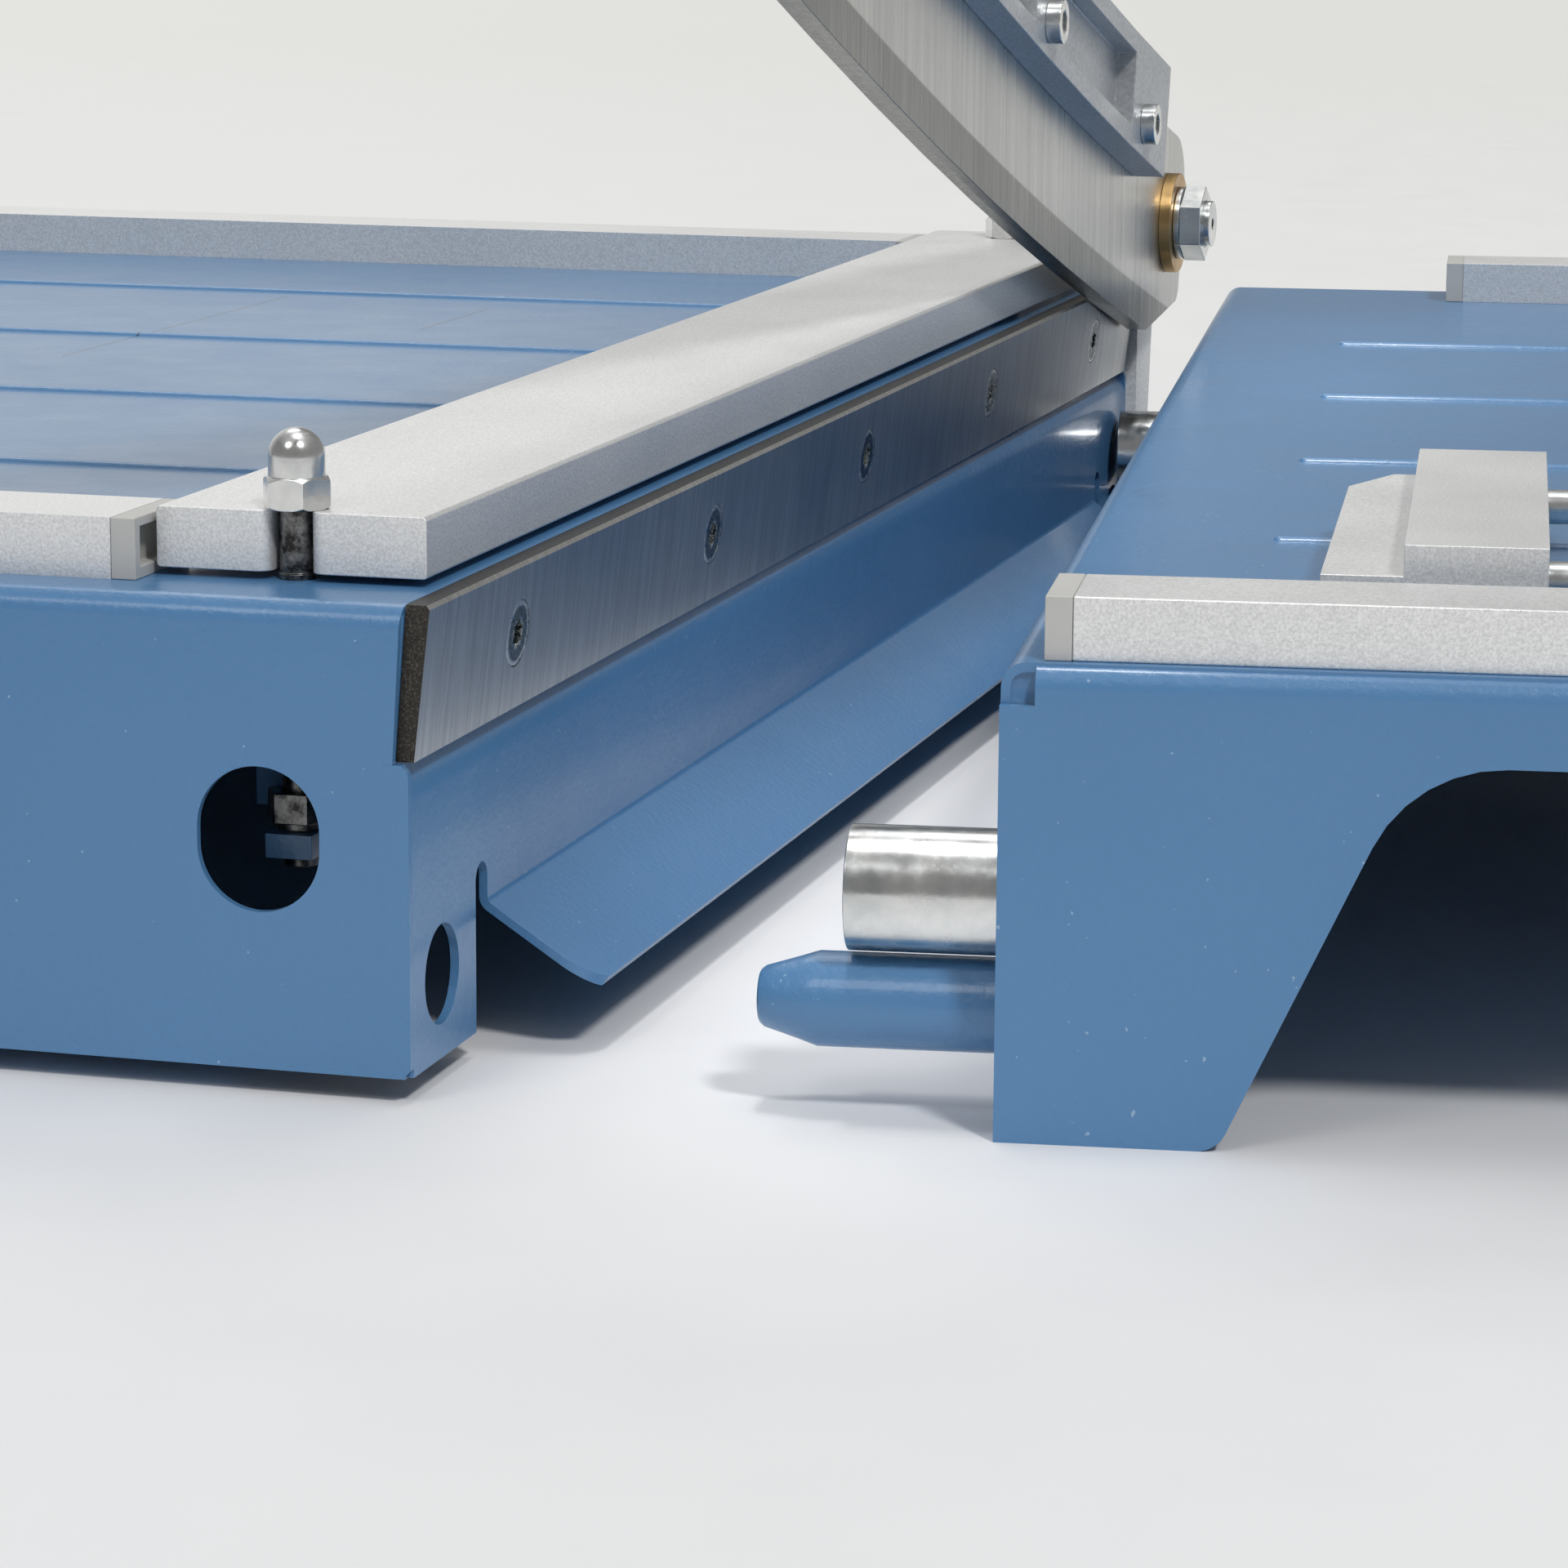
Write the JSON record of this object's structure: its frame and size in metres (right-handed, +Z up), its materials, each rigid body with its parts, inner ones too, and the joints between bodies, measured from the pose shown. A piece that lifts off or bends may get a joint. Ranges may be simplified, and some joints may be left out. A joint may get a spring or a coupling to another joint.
{
  "type": "lever sheet cutter",
  "caption": "Lever guillotine with folded blue steel table, clamp bar, fixed counter blade, waste chute and a plug-in front table carrying a narrow-cut stop.",
  "frame": {"origin": "middle of the sole of the main table's front right foot, on the bench", "axes": "+X from the main table towards the front table, across the cut; +Y along the cut, away from the operator; +Z up"},
  "size_m": [0.7011, 0.7799, 0.3387],
  "materials": {
    "blue_paint": "fine-textured powder coat, semi-gloss",
    "ground_blade": "cross-ground blade steel, dark edges",
    "knife_steel": "ground knife steel",
    "dark_steel": "oiled steel",
    "zinc": "bright zinc plate",
    "anodised": "sand-blasted anodised aluminium",
    "cast_arm": "silver-grey painted arm",
    "grey_cap": "grey moulded plastic",
    "black_plastic": "black moulded plastic",
    "rubber": "black rubber",
    "bronze": "plain bearing bronze"
  },
  "bodies": {
    "base": {"table_housing": "blue_paint", "table_left_wall": "blue_paint", "table_bottom_flanges": "blue_paint", "cutting_side_wall": "blue_paint", "rubber_feet": "rubber", "foot_screws": "zinc", "counter_blade": "ground_blade", "counter_blade_screws": "zinc", "blade_support_bar": "dark_steel", "front_ruler": "anodised", "rear_ruler": "anodised", "ruler_end_caps": "grey_cap", "ruler_screws": "zinc", "clamp_studs": "dark_steel", "cap_nuts": "zinc", "stud_bracket": "blue_paint", "stud_lock_nuts": "dark_steel", "lift_pin_guide": "blue_paint", "pivot_bracket": "cast_arm", "pivot_bracket_screws": "zinc", "pivot_bracket_nuts": "zinc", "pivot_bolt": "zinc", "pivot_washers": "zinc", "pivot_nut": "zinc"},
    "clamp": {"clamp_bar": "anodised", "lift_pins": "dark_steel", "lift_springs": "dark_steel"},
    "knife": {"upper_knife": "knife_steel", "knife_rail": "cast_arm", "knife_screws": "zinc", "handle_bracket": "cast_arm", "handle_bracket_screws": "zinc", "arm_bush": "bronze", "handle_tube": "zinc", "handle_grip": "black_plastic", "grip_end_cap": "black_plastic"},
    "back_gauge": {"gauge_bar": "anodised", "gauge_shoe": "anodised", "gauge_shoe_screws": "zinc", "gauge_knob_stud": "zinc"},
    "gauge_clamp_knob": {"gauge_knob": "black_plastic"},
    "front_table": {"front_table_sheet": "blue_paint", "front_table_side_walls": "blue_paint", "spacer_tubes": "zinc", "plug_pins": "blue_paint", "plug_brackets": "blue_paint", "front_table_front_ruler": "anodised", "front_table_rear_ruler": "anodised", "front_table_end_caps": "grey_cap", "front_table_ruler_screws": "zinc", "stop_bearing": "anodised", "stop_bearing_screws": "zinc", "stop_lock_stud": "zinc"},
    "narrow_cut_stop": {"stop_block": "anodised", "stop_guide_rods": "zinc", "stop_end_bar": "anodised", "stop_end_bar_screws": "zinc"},
    "stop_clamp_knob": {"stop_lock_knob": "black_plastic"}
  },
  "joints": [
    {"name": "knife_swing", "type": "hinge", "parent": "base", "child": "knife", "pos_m": [0.045, 0.53, 0.093], "axis": [-1, 0, 0], "range_deg": [-15.8, 40]},
    {"name": "clamp_press", "type": "slide", "parent": "base", "child": "clamp", "axis": [0, 0, 1], "range_m": [-0.0012, 0], "stiffness_N_per_m": 2500, "springref_m": 0.004, "deforming": ["lift_springs"]},
    {"name": "gauge_travel", "type": "slide", "parent": "base", "child": "back_gauge", "axis": [1, 0, 0], "range_m": [0, 0.22]},
    {"name": "gauge_knob_turn", "type": "hinge", "parent": "back_gauge", "child": "gauge_clamp_knob", "pos_m": [-0.2875, -0.0173, 0.1], "axis": [0, 0, 1], "range_deg": [0, 180]},
    {"name": "front_table_swing", "type": "hinge", "parent": "base", "child": "front_table", "pos_m": [0.04425, 0.515, 0.0185], "axis": [0, 0, 1], "range_deg": [-7.02, 0]},
    {"name": "stop_travel", "type": "slide", "parent": "front_table", "child": "narrow_cut_stop", "axis": [0.9925, 0.1222, 0], "range_m": [-0.04, 0.03]},
    {"name": "stop_knob_turn", "type": "hinge", "parent": "front_table", "child": "stop_clamp_knob", "pos_m": [0.2713, 0.06991, 0.0925], "axis": [0, 0, 1], "range_deg": [0, 180]}
  ]
}
